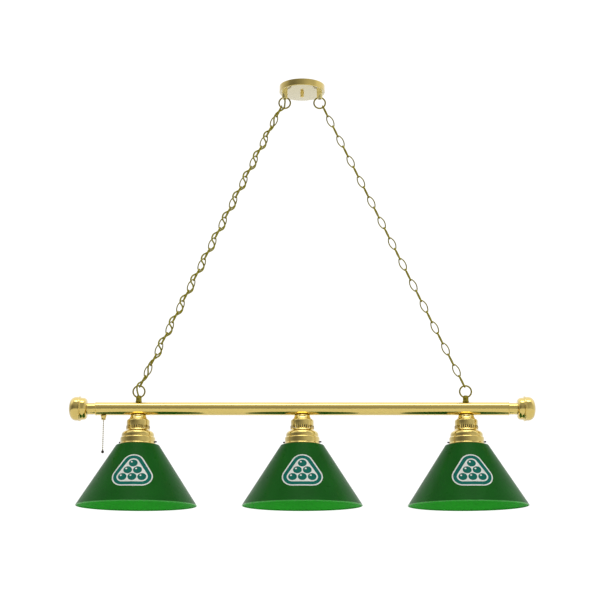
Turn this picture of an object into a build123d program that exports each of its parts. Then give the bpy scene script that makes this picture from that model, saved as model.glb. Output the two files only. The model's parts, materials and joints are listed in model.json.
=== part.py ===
"""Three-shade pool table lamp hung from a ceiling canopy by two chains.

Frame: the origin is the centre of the canopy's top rim on the ceiling, +Z is up,
+X runs along the bar and -Y faces the front. Lengths are in millimetres.
"""
import os
from math import atan2, cos, degrees, hypot, pi, radians, sin, tan

from build123d import *

os.makedirs("parts", exist_ok=True)

# ---------------------------------------------------------------- driving dimensions
DROP = 1400.7                    # ceiling to the shades' bottom rims
RIM = -DROP                      # height of the shades' bottom rims

CANOPY_R = 76.2                  # ceiling canopy, a plain round pan
CANOPY_H = 22.5
SHEET = 0.8                      # canopy and shade sheet
BRASS_SHEET = 0.9                # spun holders and knob shells
LOOP_X = 58.5                    # canopy loops, either side of the centre

BAR_Z = RIM + 309.3              # bar axis
BAR_R = 21.0
BAR_WALL = 1.2
BAR_HALF = 660.0                 # half the tube's length
BAR_TOP = BAR_Z + BAR_R
BAR_BOTTOM = BAR_Z - BAR_R
SHADE_X = 523.0                  # outer shades, and the bar loops above them
SHADE_CENTRES = {"left": -SHADE_X, "center": 0.0, "right": SHADE_X}

RING_WIRE_R = 2.25               # wire of the loops' rings
CANOPY_RING_R = 18.7             # centreline radius of the rings
CANOPY_RING_Z = -58.2
BAR_RING_R = 18.45
BAR_RING_Z = RIM + 364.6
CANOPY_CONTACT_DEG = 38.5        # where the top link hangs, from the ring's lowest point
BAR_CONTACT_DEG = 11.0           # where the bottom link pulls, from the ring's highest point

LINKS = 27                       # links in each chain
LINK_WIRE_R = 1.7
LINK_WIDTH = 22.5                # outside
LINK_END_R = 4.6                 # centreline radius of a link's ends
CONTACT_GAP = 0.3                # between wires that turn on each other

THREAD_R = 4.9                   # hollow threaded nipples
NIPPLE_BORE_R = 3.6
CLEAR_R = 5.1                    # holes that the nipples pass through
NUT_FLATS = 14.0
NUT_H = 3.5

CORD_R = 2.75                    # supply cord
# The cord's route points beside the links' contacts: how far across the chain, how far
# forward or back, and how far further down as a share of the pitch.
CORD_OUT = (17.0, 20.2, 0.126)   # outward and forward, below edge-on links
CORD_IN = (17.5, 18.9, -0.456)   # inward and back, below face-on links
CORD_ENDS = (10.5, 10.5, 0.0)    # the two contacts next to each end, either way

SHADE_R = 191.0
SHADE_BAND = 1.5                 # upright edge at the rim
SHADE_TOP = 196.0
SHADE_TOP_R = 65.8
NECK_R = 50.8                    # four-inch fitter neck
NECK_TOP = 207.0

HOLDER_BOTTOM = 198.0
HOLDER_TOP = 287.8
VENT_COUNT = 36
VENT_Z = 249.0
VENT_HEIGHT = 10.5
VENT_WIDTH = 3.0
SCREW_Z = 202.2
SCREW_AZIMUTHS = (-8.0, 82.0, 172.0)

SWITCH_X = -634.0
BEAD_R = 2.2
BEAD_PITCH = 6.4
BEAD_COUNT = 15
FIRST_BEAD_Z = RIM + 269.0


def save(part, name):
    """Label a finished piece and write it."""
    part.label = name
    export_step(part, f"parts/{name}.step")


def up(height):
    """Height above the shades' rims, in the lamp's frame."""
    return RIM + height


def spun(points):
    """A solid of revolution about Z from (radius, height) points, on the axis."""
    with BuildPart() as body:
        with BuildSketch(Plane.XZ):
            with BuildLine():
                Polyline(*points, close=True)
            make_face()
        revolve(axis=Axis.Z)
    return body.part


def hex_nut(x, z_low, bore_r):
    """A hexagonal lock nut with its lower face at z_low."""
    with BuildPart() as nut:
        with BuildSketch(Plane.XY.offset(z_low)):
            with Locations((x, 0)):
                RegularPolygon(NUT_FLATS / 2, 6, major_radius=False)
                Circle(bore_r, mode=Mode.SUBTRACT)
        extrude(amount=NUT_H)
        chamfer(nut.edges().filter_by(GeomType.LINE).filter_by(Plane.XY), 0.4)
    return nut.part


def tube(x, z_low, z_high, outer_r, bore_r):
    """A plain upright tube."""
    with BuildPart() as body:
        with BuildSketch(Plane.XY.offset(z_low)):
            with Locations((x, 0)):
                Circle(outer_r)
                Circle(bore_r, mode=Mode.SUBTRACT)
        extrude(amount=z_high - z_low)
    return body.part


def wire(points, radius, bend):
    """A round wire along straight runs with equal bends."""
    with BuildPart() as body:
        with BuildLine() as path:
            if len(points) > 2:
                FilletPolyline(*points, radius=bend)
            else:
                Polyline(*points)
        with BuildSketch(Plane(path.line @ 0, z_dir=path.line % 0)):
            Circle(radius)
        sweep()
    return body.part


# ---------------------------------------------------------------- canopy
with BuildPart() as canopy_pan:
    with BuildSketch(Plane.XY.offset(-CANOPY_H)):
        Circle(CANOPY_R)
    extrude(amount=CANOPY_H)
    fillet(canopy_pan.edges().sort_by(Axis.Z)[0], 2.5)
    offset(amount=-SHEET, openings=canopy_pan.faces().sort_by(Axis.Z)[-1])
    with BuildSketch(Plane.XY.offset(-CANOPY_H)):
        with Locations((-LOOP_X, 0), (LOOP_X, 0)):
            Circle(CLEAR_R)
        Circle(3.3)
    extrude(amount=SHEET, mode=Mode.SUBTRACT)
save(canopy_pan.part, "canopy_pan")

CROSSBAR = (20.0, 104.0, 2.0)    # width, length, thickness
SLOT_SPACING = 79.4
SLOT_LENGTH = 16.0
SLOT_WIDTH = 5.0
GROUND_Y = 20.0
STUD_R = 3.0
with BuildPart() as crossbar:
    with BuildSketch(Plane.XY.offset(-CROSSBAR[2])):
        RectangleRounded(CROSSBAR[0], CROSSBAR[1], 3)
        with GridLocations(0, SLOT_SPACING, 1, 2):
            SlotOverall(SLOT_LENGTH, SLOT_WIDTH, rotation=90, mode=Mode.SUBTRACT)
        Circle(STUD_R + 0.05, mode=Mode.SUBTRACT)
        with Locations((0, GROUND_Y)):
            Circle(1.95, mode=Mode.SUBTRACT)
    extrude(amount=CROSSBAR[2])
save(crossbar.part, "crossbar")

with BuildPart() as ground_screw:
    with BuildSketch(Plane.XY.offset(-CROSSBAR[2] - 2.4)):
        with Locations((0, GROUND_Y)):
            RegularPolygon(3.8, 6, major_radius=False)
    extrude(amount=2.4)
    with BuildSketch(Plane.XY.offset(-CROSSBAR[2])):
        with Locations((0, GROUND_Y)):
            Circle(1.9)
    extrude(amount=CROSSBAR[2])
    with BuildSketch(Plane.XY.offset(-CROSSBAR[2] - 2.4)):
        with Locations((0, GROUND_Y)):
            Rectangle(7.0, 1.0)
    extrude(amount=0.9, mode=Mode.SUBTRACT)
save(ground_screw.part, "ground_screw")

NUT_BOTTOM = -CANOPY_H - 15.0
with BuildPart() as center_stud:
    with BuildSketch(Plane.XY.offset(NUT_BOTTOM + 2.0)):
        Circle(STUD_R)
    extrude(amount=-NUT_BOTTOM - 2.0)
save(center_stud.part, "center_stud")

with BuildPart() as center_nut:
    with BuildSketch(Plane.XY.offset(NUT_BOTTOM)):
        Circle(6.2)
    extrude(amount=-CANOPY_H - NUT_BOTTOM)
    fillet(center_nut.edges().sort_by(Axis.Z)[0], 2.6)
    with BuildSketch(Plane.XY.offset(NUT_BOTTOM + 1.5)):
        Circle(STUD_R + 0.05)
    extrude(amount=-CANOPY_H - NUT_BOTTOM - 1.5, mode=Mode.SUBTRACT)
save(center_nut.part, "center_nut")


def ring(x, z, radius):
    """The round wire ring of a loop, standing in the XZ plane."""
    with BuildPart() as body:
        with BuildSketch(Plane.XY.offset(z)):
            with Locations((x + radius, 0)):
                Circle(RING_WIRE_R)
        revolve(axis=Axis((x, 0, z), (0, 1, 0)))
    return body.part


COLLAR_R = 9.5                   # canopy loop collar
COLLAR_BOTTOM = -43.7
COLLAR_THREAD = 12.0             # thread depth
for name, x in (("left", -LOOP_X), ("right", LOOP_X)):
    with BuildPart() as canopy_loop:
        with BuildSketch(Plane.XY.offset(COLLAR_BOTTOM)):
            with Locations((x, 0)):
                Circle(COLLAR_R)
        extrude(amount=-CANOPY_H - COLLAR_BOTTOM)
        fillet(canopy_loop.edges().sort_by(Axis.Z)[0], 1.2)
        add(ring(x, CANOPY_RING_Z, CANOPY_RING_R))
        with BuildSketch(Plane.XY.offset(COLLAR_BOTTOM)):
            with Locations((x, 0)):
                Circle(THREAD_R + 0.05)
        extrude(amount=-CANOPY_H - COLLAR_BOTTOM, mode=Mode.SUBTRACT)
    save(canopy_loop.part, f"canopy_loop_{name}")

NIPPLE_TOP = -10.5
with BuildPart() as canopy_nipples:
    for x in (-LOOP_X, LOOP_X):
        add(tube(x, -CANOPY_H - COLLAR_THREAD, NIPPLE_TOP, THREAD_R, NIPPLE_BORE_R))
save(canopy_nipples.part, "canopy_nipples")

WASHER_H = 1.0
PAN_INSIDE = -CANOPY_H + SHEET
with BuildPart() as canopy_washers:
    for x in (-LOOP_X, LOOP_X):
        add(tube(x, PAN_INSIDE, PAN_INSIDE + WASHER_H, 9.0, CLEAR_R))
save(canopy_washers.part, "canopy_washers")

with BuildPart() as canopy_lock_nuts:
    for x in (-LOOP_X, LOOP_X):
        add(hex_nut(x, PAN_INSIDE + WASHER_H, THREAD_R + 0.05))
save(canopy_lock_nuts.part, "canopy_lock_nuts")

# Three leads leave the cord inside the left nipple and end in wire connectors.
LEAD_R = 0.8
LEAD_Z = -6.5
CONNECTOR_X = -44.0
CONNECTOR_YS = (-11.0, 0.0, 11.0)
CONNECTOR_LENGTH = 16.0
with BuildPart() as canopy_leads:
    for start_y, end_y in zip((-2.0, 0.0, 2.0), CONNECTOR_YS):
        start_x = -LOOP_X - 1.0 if start_y == 0 else -LOOP_X + 0.6
        points = [(start_x, start_y, -15.0), (start_x, start_y, LEAD_Z)]
        if end_y:
            points.append((CONNECTOR_X - 6.0, end_y, LEAD_Z))
        points.append((CONNECTOR_X + 6.0, end_y, LEAD_Z))
        add(wire(points, LEAD_R, 2.6))
save(canopy_leads.part, "canopy_leads")

with BuildPart() as wire_connectors:
    for y in CONNECTOR_YS:
        with BuildSketch(Plane.YZ.offset(CONNECTOR_X)):
            with Locations((y, LEAD_Z)):
                Circle(4.3)
        with BuildSketch(Plane.YZ.offset(CONNECTOR_X + CONNECTOR_LENGTH)):
            with Locations((y, LEAD_Z)):
                Circle(2.8)
        loft()
        with BuildSketch(Plane.YZ.offset(CONNECTOR_X)):
            with Locations((y, LEAD_Z)):
                Circle(2.2)
        extrude(amount=9.0, mode=Mode.SUBTRACT)
save(wire_connectors.part, "wire_connectors")

# ---------------------------------------------------------------- chains
# Each chain is a straight row of links between a point on its canopy ring and a
# point on its bar ring; the pitch follows from that distance.
top_turn = radians(CANOPY_CONTACT_DEG)
bottom_turn = radians(BAR_CONTACT_DEG)
TOP_X = LOOP_X + CANOPY_RING_R * sin(top_turn)
TOP_Z = CANOPY_RING_Z - CANOPY_RING_R * cos(top_turn)
BOTTOM_X = SHADE_X - BAR_RING_R * sin(bottom_turn)
BOTTOM_Z = BAR_RING_Z + BAR_RING_R * cos(bottom_turn)
RUN = hypot(BOTTOM_X - TOP_X, BOTTOM_Z - TOP_Z)
LEAN = degrees(atan2(BOTTOM_X - TOP_X, TOP_Z - BOTTOM_Z))
PITCH = (RUN + 2 * (RING_WIRE_R + CONTACT_GAP)) / LINKS
print(f"chain run {RUN:.2f} pitch {PITCH:.3f} lean {LEAN:.3f}")
print(f"canopy contact x {TOP_X:.3f} z {TOP_Z:.3f}, bar contact x {BOTTOM_X:.3f} z {BOTTOM_Z:.3f}")

LINK_HALF = PITCH / 2 + LINK_WIRE_R + CONTACT_GAP / 2
LINK_SIDE = LINK_WIDTH / 2 - LINK_WIRE_R
END_CENTRE = LINK_HALF - LINK_END_R
SIDE_R = (LINK_SIDE**2 + END_CENTRE**2 - LINK_END_R**2) / (2 * (LINK_SIDE - LINK_END_R))
SIDE_TURN = degrees(atan2(END_CENTRE, SIDE_R - LINK_SIDE))

with BuildPart() as link:
    with BuildLine(Plane.XZ) as outline:
        for facing in (0, 180):
            side_x = (LINK_SIDE - SIDE_R) * (1 if facing == 0 else -1)
            end_z = END_CENTRE * (1 if facing == 0 else -1)
            CenterArc((side_x, 0), SIDE_R, facing - SIDE_TURN, 2 * SIDE_TURN)
            CenterArc((0, end_z), LINK_END_R, facing + SIDE_TURN, 180 - 2 * SIDE_TURN)
    with BuildSketch(Plane(outline.line @ 0, z_dir=outline.line % 0)):
        Circle(LINK_WIRE_R)
    sweep()


def along(distance):
    """Point on the left chain's axis, measured down from the canopy ring's wire."""
    lean = radians(LEAN)
    return Vector(-TOP_X - distance * sin(lean), 0, TOP_Z - distance * cos(lean))


def link_centre(index):
    """Distance of a link's centre down the chain; links count from 1."""
    return (index - 0.5) * PITCH - RING_WIRE_R - CONTACT_GAP


def placed_link(index, side):
    """One link in place; odd links stand edge-on, even ones face the front."""
    centre = along(link_centre(index))
    turn = 90 if index % 2 else 0
    spot = Location((-side * centre.X, 0, centre.Z), (0, -side * LEAN, 0))
    return link.part.moved(spot * Location((0, 0, 0), (0, 0, turn)))


for name, side in (("left", -1), ("right", 1)):
    with BuildPart() as top_link:
        add(placed_link(1, side))
    save(top_link.part, f"{name}_top_link")

    with BuildPart() as chain:
        for index in range(2, LINKS):
            add(placed_link(index, side))
    save(chain.part, f"{name}_chain")

    with BuildPart() as bottom_link:
        add(placed_link(LINKS, side))
    save(bottom_link.part, f"{name}_bottom_link")

# ---------------------------------------------------------------- supply cord
# The cord leaves the left canopy loop, crosses the chain's axis inside every link
# and enters the left bar loop. Its route is cut where the chain turns.
lean = radians(LEAN)
DOWN = Vector(-sin(lean), 0, -cos(lean))
OUTWARD = Vector(-cos(lean), 0, sin(lean))       # across the left chain, away from the lamp
FRONT = Vector(0, -1, 0)


def joint_at(index):
    """Distance down the chain of the contact below link number index."""
    return index * PITCH - RING_WIRE_R - CONTACT_GAP


CORD_END = -1082.0
route = [(-LOOP_X, 0, -15.0), (-LOOP_X, 0, -36.0), (-57.2, 0.8, -53.0), (-59.7, 10.5, -75.2)]
for index in range(1, LINKS):
    way = 1 if index % 2 else -1
    across, forward, further = CORD_OUT if index % 2 else CORD_IN
    if index < 3 or index > LINKS - 3:
        across, forward, further = CORD_ENDS
    beside = (OUTWARD * across + FRONT * forward) * way
    route.append(tuple(along(joint_at(index) + further * PITCH) + beside))
route += [
    (-528.9, -10.5, -1013.5),
    (-529.3, -1.0, -1034.0),
    (-523.2, 0.0, -1052.0),
    (-523.0, 0.0, CORD_END),
]


def bend_radii(points):
    """The largest arc that the two runs at each corner allow."""
    radii = []
    for before, corner, after in zip(points, points[1:], points[2:]):
        arriving = Vector(corner) - Vector(before)
        leaving = Vector(after) - Vector(corner)
        half_turn = radians(arriving.get_angle(leaving)) / 2
        radii.append(0.45 * min(arriving.length, leaving.length) / tan(half_turn))
    return radii


cord_radii = bend_radii(route)
print("cord bend radii", [round(radius, 1) for radius in cord_radii])
with BuildPart() as cord:
    with BuildLine() as cord_path:
        FilletPolyline(*route, radius=cord_radii)
    with BuildSketch(Plane(cord_path.line @ 0, z_dir=cord_path.line % 0)):
        Circle(CORD_R)
    sweep()
cord_length = cord_path.wires()[0].length
print(f"cord length {cord_length:.1f} volume {cord.part.volume:.0f}"
      f" section x length {pi * CORD_R**2 * cord_length:.0f}")

# Gaps left in the cord where the suspension turns, top to bottom. They are wider at
# the rings, where the lamp swings and rocks furthest.
RING_GAPS = (3.4, 3.8)
LINK_GAP = 1.6
TOP_PIVOT = joint_at(1) + LINK_WIRE_R + CONTACT_GAP / 2
BOTTOM_PIVOT = joint_at(LINKS - 1) - LINK_WIRE_R - CONTACT_GAP / 2
cuts = [
    (Vector(0, 0, TOP_Z), Vector(0, 0, -1), RING_GAPS[0]),
    (along(TOP_PIVOT), DOWN, LINK_GAP),
    (along(BOTTOM_PIVOT), DOWN, LINK_GAP),
    (Vector(0, 0, BOTTOM_Z), Vector(0, 0, -1), RING_GAPS[1]),
]
print("pivots", along(TOP_PIVOT), along(BOTTOM_PIVOT))
cord_names = ["cord_feed", "cord_top", "cord_weave", "cord_bottom", "cord_tail"]
for number, name in enumerate(cord_names):
    with BuildPart() as cord_piece:
        add(cord.part)
        if number > 0:
            origin, downward, gap = cuts[number - 1]
            split(bisect_by=Plane(origin + downward * (gap / 2), z_dir=downward))
        if number < len(cuts):
            origin, downward, gap = cuts[number]
            split(bisect_by=Plane(origin - downward * (gap / 2), z_dir=-downward))
    save(cord_piece.part, name)

# ---------------------------------------------------------------- bar
LIP_LENGTH = 2.6
with BuildPart() as bar_tube:
    with BuildSketch(Plane.YZ.offset(-BAR_HALF)):
        with Locations((0, BAR_Z)):
            Circle(BAR_R)
    extrude(amount=2 * BAR_HALF)
    for end in (-BAR_HALF, BAR_HALF - LIP_LENGTH):
        with BuildSketch(Plane.YZ.offset(end)):
            with Locations((0, BAR_Z)):
                Circle(BAR_R + 0.9)
        extrude(amount=LIP_LENGTH)
    fillet(bar_tube.edges().filter_by(GeomType.CIRCLE).group_by(SortBy.RADIUS)[-1], 0.8)
    with BuildSketch(Plane.YZ.offset(-BAR_HALF)):
        with Locations((0, BAR_Z)):
            Circle(BAR_R - BAR_WALL)
    extrude(amount=2 * BAR_HALF, mode=Mode.SUBTRACT)
    with BuildSketch(Plane.XY.offset(BAR_Z)):
        with Locations((-SHADE_X, 0), (SHADE_X, 0)):
            Circle(CLEAR_R)
    extrude(amount=BAR_R + 2, mode=Mode.SUBTRACT)
    with BuildSketch(Plane.XY.offset(BAR_Z - BAR_R - 2)):
        with Locations((-SHADE_X, 0), (0, 0), (SHADE_X, 0), (SWITCH_X, 0)):
            Circle(CLEAR_R)
    extrude(amount=BAR_R + 2, mode=Mode.SUBTRACT)
save(bar_tube.part, "bar_tube")


def lengthwise(points, side):
    """A solid of revolution about the bar's axis from (distance along X, radius) points."""
    plane = Plane(origin=(0, 0, BAR_Z), x_dir=(side, 0, 0), z_dir=(0, -side, 0))
    with BuildPart() as body:
        with BuildSketch(plane):
            with BuildLine():
                Polyline(*points, close=True)
            make_face()
        revolve(axis=Axis((0, 0, BAR_Z), (1, 0, 0)))
    return body.part


def cap_arc(edge, tip):
    """A dome's outline from an edge point to its tip on the axis; its centre is on the axis."""
    rise, reach = tip - edge[0], edge[1]
    radius = (reach**2 + rise**2) / (2 * rise)
    span = degrees(atan2(reach, radius - rise))
    return CenterArc((tip - radius, 0), radius, 0, span)


NECK_END = 690.0
SEAM_X = 710.0
DOME_TIP = 745.5
DOME_EDGE = (740.0, 26.5)
DOME_INNER_EDGE = (739.2, 26.0)
for name, side in (("left", -1), ("right", 1)):
    neck_points = [
        (647, 16.5), (647, 19.7), (660.3, 19.7), (660.3, 18.7), (NECK_END, 18.7), (NECK_END, 16.5),
    ]
    save(lengthwise(neck_points, side), f"{name}_neck")

    face = Plane(origin=(0, 0, BAR_Z), x_dir=(side, 0, 0), z_dir=(0, -side, 0))
    turning = Axis((0, 0, BAR_Z), (1, 0, 0))
    with BuildPart() as knob_inner:
        with BuildSketch(face):
            with BuildLine():
                Polyline((686.6, 18.8), (686.6, 24.5))
                ThreePointArc((686.6, 24.5), (690.1, 31.8), (698.5, 35.2))
                Polyline((698.5, 35.2), (704.5, 35.7), (707.6, 38.2), (708.2, 40.0), (SEAM_X, 40.3),
                         (SEAM_X, 37.4), (704.4, 34.6), (698.5, 34.2))
                ThreePointArc((698.5, 34.2), (691.0, 31.0), (687.7, 24.5))
                Polyline((687.7, 24.5), (687.7, 18.8), (686.6, 18.8))
            make_face()
        revolve(axis=turning)
    save(knob_inner.part, f"{name}_knob_inner")

    with BuildPart() as knob_outer:
        with BuildSketch(face):
            with BuildLine():
                Polyline((SEAM_X, 37.4), (SEAM_X, 40.5), (711.8, 40.2), (712.3, 38.4), (723.0, 38.1))
                ThreePointArc((723.0, 38.1), (732.8, 34.4), DOME_EDGE)
                cap_arc(DOME_EDGE, DOME_TIP)
                Line((DOME_TIP, 0), (DOME_TIP - BRASS_SHEET, 0))
                cap_arc(DOME_INNER_EDGE, DOME_TIP - BRASS_SHEET)
                ThreePointArc(DOME_INNER_EDGE, (732.1, 33.7), (723.0, 37.1))
                Line((723.0, 37.1), (SEAM_X, 37.4))
            make_face()
        revolve(axis=turning)
    save(knob_outer.part, f"{name}_knob_outer")

LOOP_BASE = BAR_TOP + 0.05
LOOP_MOUTH = up(351.5)
for name, x in (("left", -SHADE_X), ("right", SHADE_X)):
    with BuildPart() as bar_loop:
        with BuildSketch(Plane.XZ):
            with BuildLine():
                Polyline((0, LOOP_BASE), (10.2, LOOP_BASE), (10.2, up(332.4)), (9.0, up(338)),
                         (9.0, up(345)), (6.9, up(347)), (6.9, LOOP_MOUTH), (0, LOOP_MOUTH), close=True)
            make_face()
        revolve(axis=Axis.Z)
        fillet(bar_loop.edges().sort_by(Axis.Z)[-1], 0.8)
        add(ring(0, BAR_RING_Z, BAR_RING_R))
        with BuildSketch(Plane.XY.offset(LOOP_BASE)):
            Circle(THREAD_R + 0.05)
        extrude(amount=LOOP_MOUTH - LOOP_BASE, mode=Mode.SUBTRACT)
    save(bar_loop.part.moved(Location((x, 0, 0))), f"bar_loop_{name}")

LOOP_NIPPLE = (up(320.5), up(343.0))
HOLDER_NIPPLE = (up(276.0), up(297.0))
with BuildPart() as bar_nipples:
    for x in (-SHADE_X, SHADE_X):
        add(tube(x, LOOP_NIPPLE[0], LOOP_NIPPLE[1], THREAD_R, NIPPLE_BORE_R))
    for x in SHADE_CENTRES.values():
        add(tube(x, HOLDER_NIPPLE[0], HOLDER_NIPPLE[1], THREAD_R, NIPPLE_BORE_R))
save(bar_nipples.part, "bar_nipples")

NUT_REACH = 18.0                 # a nut's corners meet the tube's wall this far from its axis
with BuildPart() as bar_lock_nuts:
    for x in (-SHADE_X, SHADE_X):
        add(hex_nut(x, BAR_Z + NUT_REACH - NUT_H, THREAD_R + 0.05))
    for x in SHADE_CENTRES.values():
        add(hex_nut(x, BAR_Z - NUT_REACH, THREAD_R + 0.05))
save(bar_lock_nuts.part, "bar_lock_nuts")

# Pairs of leads: cord to left socket, left to center, center to right, switch to left.
LOW_END = up(277.5)
with BuildPart() as bar_leads:
    for y in (-2.4, 2.4):
        add(wire([(-SHADE_X, y, CORD_END - 0.1), (-SHADE_X, y, LOW_END)], LEAD_R, 5))
    for y in (-1.1, 1.1):
        for start, end in ((-SHADE_X, 0), (0, SHADE_X)):
            points = [(start + 2.2, y, LOW_END), (start + 2.2, y, BAR_Z), (end - 2.2, y, BAR_Z),
                      (end - 2.2, y, LOW_END)]
            add(wire(points, LEAD_R, 6))
        points = [(SWITCH_X + 11, y, BAR_Z), (-SHADE_X - 2.2, y, BAR_Z), (-SHADE_X - 2.2, y, LOW_END)]
        add(wire(points, LEAD_R, 6))
save(bar_leads.part, "bar_leads")

# ---------------------------------------------------------------- holders, shades, sockets, bulbs
with BuildPart() as holder:
    with BuildSketch(Plane.XZ):
        with BuildLine():
            Polyline((0, HOLDER_BOTTOM), (56.9, HOLDER_BOTTOM), (56.9, 199.4), (55.6, 201.0), (55.6, 213.6))
            ThreePointArc((55.6, 213.6), (54.6, 216.6), (52.0, 218.6))
            Line((52.0, 218.6), (52.0, 223.4))
            ThreePointArc((52.0, 223.4), (50.0, 230.9), (44.4, 236.2))
            ThreePointArc((44.4, 236.2), (39.0, 240.0), (36.7, 245.0))
            Line((36.7, 245.0), (36.7, 267.6))
            ThreePointArc((36.7, 267.6), (35.4, 272.2), (31.7, 274.7))
            ThreePointArc((31.7, 274.7), (27.3, 280.6), (24.5, HOLDER_TOP))
            Polyline((24.5, HOLDER_TOP), (0, HOLDER_TOP), (0, HOLDER_BOTTOM))
        make_face()
    revolve(axis=Axis.Z)
    offset(amount=-BRASS_SHEET, openings=holder.faces().sort_by(Axis.Z)[0])
    with BuildSketch(Plane.XY.offset(HOLDER_TOP - 2)):
        Circle(CLEAR_R)
    extrude(amount=4, mode=Mode.SUBTRACT)
    for start in range(VENT_COUNT):
        turn = 360 * start / VENT_COUNT
        outward = (cos(radians(turn)), sin(radians(turn)), 0)
        vent_plane = Plane(origin=(0, 0, VENT_Z), z_dir=outward, x_dir=(0, 0, 1))
        with BuildSketch(vent_plane.offset(34)):
            Rectangle(VENT_HEIGHT, VENT_WIDTH)
        extrude(amount=5, mode=Mode.SUBTRACT)
    for turn in SCREW_AZIMUTHS:
        screw_plane = Plane(origin=(0, 0, SCREW_Z), z_dir=(cos(radians(turn)), sin(radians(turn)), 0))
        with BuildSketch(screw_plane.offset(52)):
            Circle(2.05)
        extrude(amount=8, mode=Mode.SUBTRACT)

with BuildPart() as shade:
    with BuildSketch(Plane.XZ):
        with BuildLine():
            Polyline((0, 0), (SHADE_R, 0), (SHADE_R, SHADE_BAND), (SHADE_TOP_R, SHADE_TOP),
                     (NECK_R, SHADE_TOP), (NECK_R, NECK_TOP), (0, NECK_TOP), close=True)
        make_face()
    revolve(axis=Axis.Z)
    circles = shade.edges().filter_by(GeomType.CIRCLE).sort_by(Axis.Z)
    fillet(circles[1], 3)
    fillet(shade.edges().filter_by(GeomType.CIRCLE).sort_by(Axis.Z)[-3], 5)
    fillet(shade.edges().filter_by(GeomType.CIRCLE).sort_by(Axis.Z)[-2], 2)
    offset(amount=-SHEET, openings=[shade.faces().sort_by(Axis.Z)[0], shade.faces().sort_by(Axis.Z)[-1]])
    for bead_r, bead_z, wire_r in ((SHADE_R - 1.5, 1.5, 1.5), (NECK_R + 0.5, NECK_TOP - 1.3, 1.3)):
        with BuildSketch(Plane.XZ):
            with Locations((bead_r, bead_z)):
                Circle(wire_r)
        revolve(axis=Axis.Z)

SOCKET_TOP = 280.0
SOCKET_BOTTOM = 236.0
SHELL_R = 14.2
with BuildPart() as socket_body:
    with BuildSketch(Plane.XY.offset(SOCKET_BOTTOM)):
        Circle(18.5)
    extrude(amount=SOCKET_TOP - SOCKET_BOTTOM)
    fillet(socket_body.edges().sort_by(Axis.Z)[-1], 5)
    fillet(socket_body.edges().sort_by(Axis.Z)[0], 1)
    with BuildSketch(Plane.XY.offset(SOCKET_BOTTOM)):
        Circle(SHELL_R + 0.1)
    extrude(amount=28, mode=Mode.SUBTRACT)
    with BuildSketch(Plane.XY.offset(SOCKET_TOP)):
        Circle(THREAD_R + 0.05)
    extrude(amount=-6, mode=Mode.SUBTRACT)

with BuildPart() as socket_shell:
    with BuildSketch(Plane.XY.offset(SOCKET_BOTTOM + 1)):
        Circle(SHELL_R)
        Circle(SHELL_R - 0.5, mode=Mode.SUBTRACT)
    extrude(amount=24)

with BuildPart() as socket_contact:
    with BuildSketch(Plane.XY.offset(SOCKET_BOTTOM + 26)):
        Circle(5)
    extrude(amount=2)

BULB_SEAT = 237.5                # where the glass leaves its base
with BuildPart() as bulb_base:
    with BuildSketch(Plane.XY.offset(BULB_SEAT)):
        Circle(13.2)
    extrude(amount=20)
    with BuildSketch(Plane.XY.offset(BULB_SEAT + 20)):
        Circle(13.2)
    with BuildSketch(Plane.XY.offset(BULB_SEAT + 24)):
        Circle(4.5)
    loft()

BULB_R = 30.0
BULB_TIP = 154.0


def bulb_profile(inset):
    """Half section of a bulb: a globe that a neck runs into, thinner by inset."""
    globe = BULB_R - inset
    centre = BULB_TIP + BULB_R
    turn = degrees(atan2(28.0, 24.0))
    across, rise = sin(radians(turn)), cos(radians(turn))
    shoulder = (globe * across, centre + globe * rise)
    neck_r = 12.9 - inset
    CenterArc((0, centre), globe, -90, 180 - turn)
    Spline(shoulder, (neck_r, BULB_SEAT), tangents=[(-rise, across), (0, 1)])
    Polyline((neck_r, BULB_SEAT), (0, BULB_SEAT), (0, centre - globe))


with BuildPart() as bulb_glass:
    with BuildSketch(Plane.XZ):
        with BuildLine():
            bulb_profile(0)
        make_face()
    revolve(axis=Axis.Z)
    with BuildSketch(Plane.XZ):
        with BuildLine():
            bulb_profile(0.8)
        make_face()
    revolve(axis=Axis.Z, mode=Mode.SUBTRACT)

with BuildPart() as shade_screw:
    with BuildSketch(Plane.YZ.offset(NECK_R + 0.1)):
        Circle(2.0)
    extrude(amount=6.5)
    with BuildSketch(Plane.YZ.offset(57.0)):
        Circle(2.6)
    extrude(amount=4.5)
    fillet(shade_screw.edges().sort_by(Axis.X)[-1], 0.7)
    with BuildSketch(Plane.YZ.offset(61.5)):
        Rectangle(0.9, 6)
    extrude(amount=-1.2, mode=Mode.SUBTRACT)

for name, x in SHADE_CENTRES.items():
    spot = Location((x, 0, RIM))
    save(holder.part.moved(spot), f"{name}_holder")
    save(shade.part.moved(spot), f"{name}_shade")
    save(socket_body.part.moved(spot), f"{name}_socket")
    save(bulb_glass.part.moved(spot), f"{name}_bulb")

repeated = {"socket_shells": socket_shell, "socket_contacts": socket_contact, "bulb_bases": bulb_base}
for name, piece in repeated.items():
    with BuildPart() as group:
        for x in SHADE_CENTRES.values():
            add(piece.part.moved(Location((x, 0, RIM))))
    save(group.part, name)

with BuildPart() as shade_screws:
    for x in SHADE_CENTRES.values():
        for turn in SCREW_AZIMUTHS:
            add(shade_screw.part.moved(Location((x, 0, up(SCREW_Z)), (0, 0, turn))))
save(shade_screws.part, "shade_screws")

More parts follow.
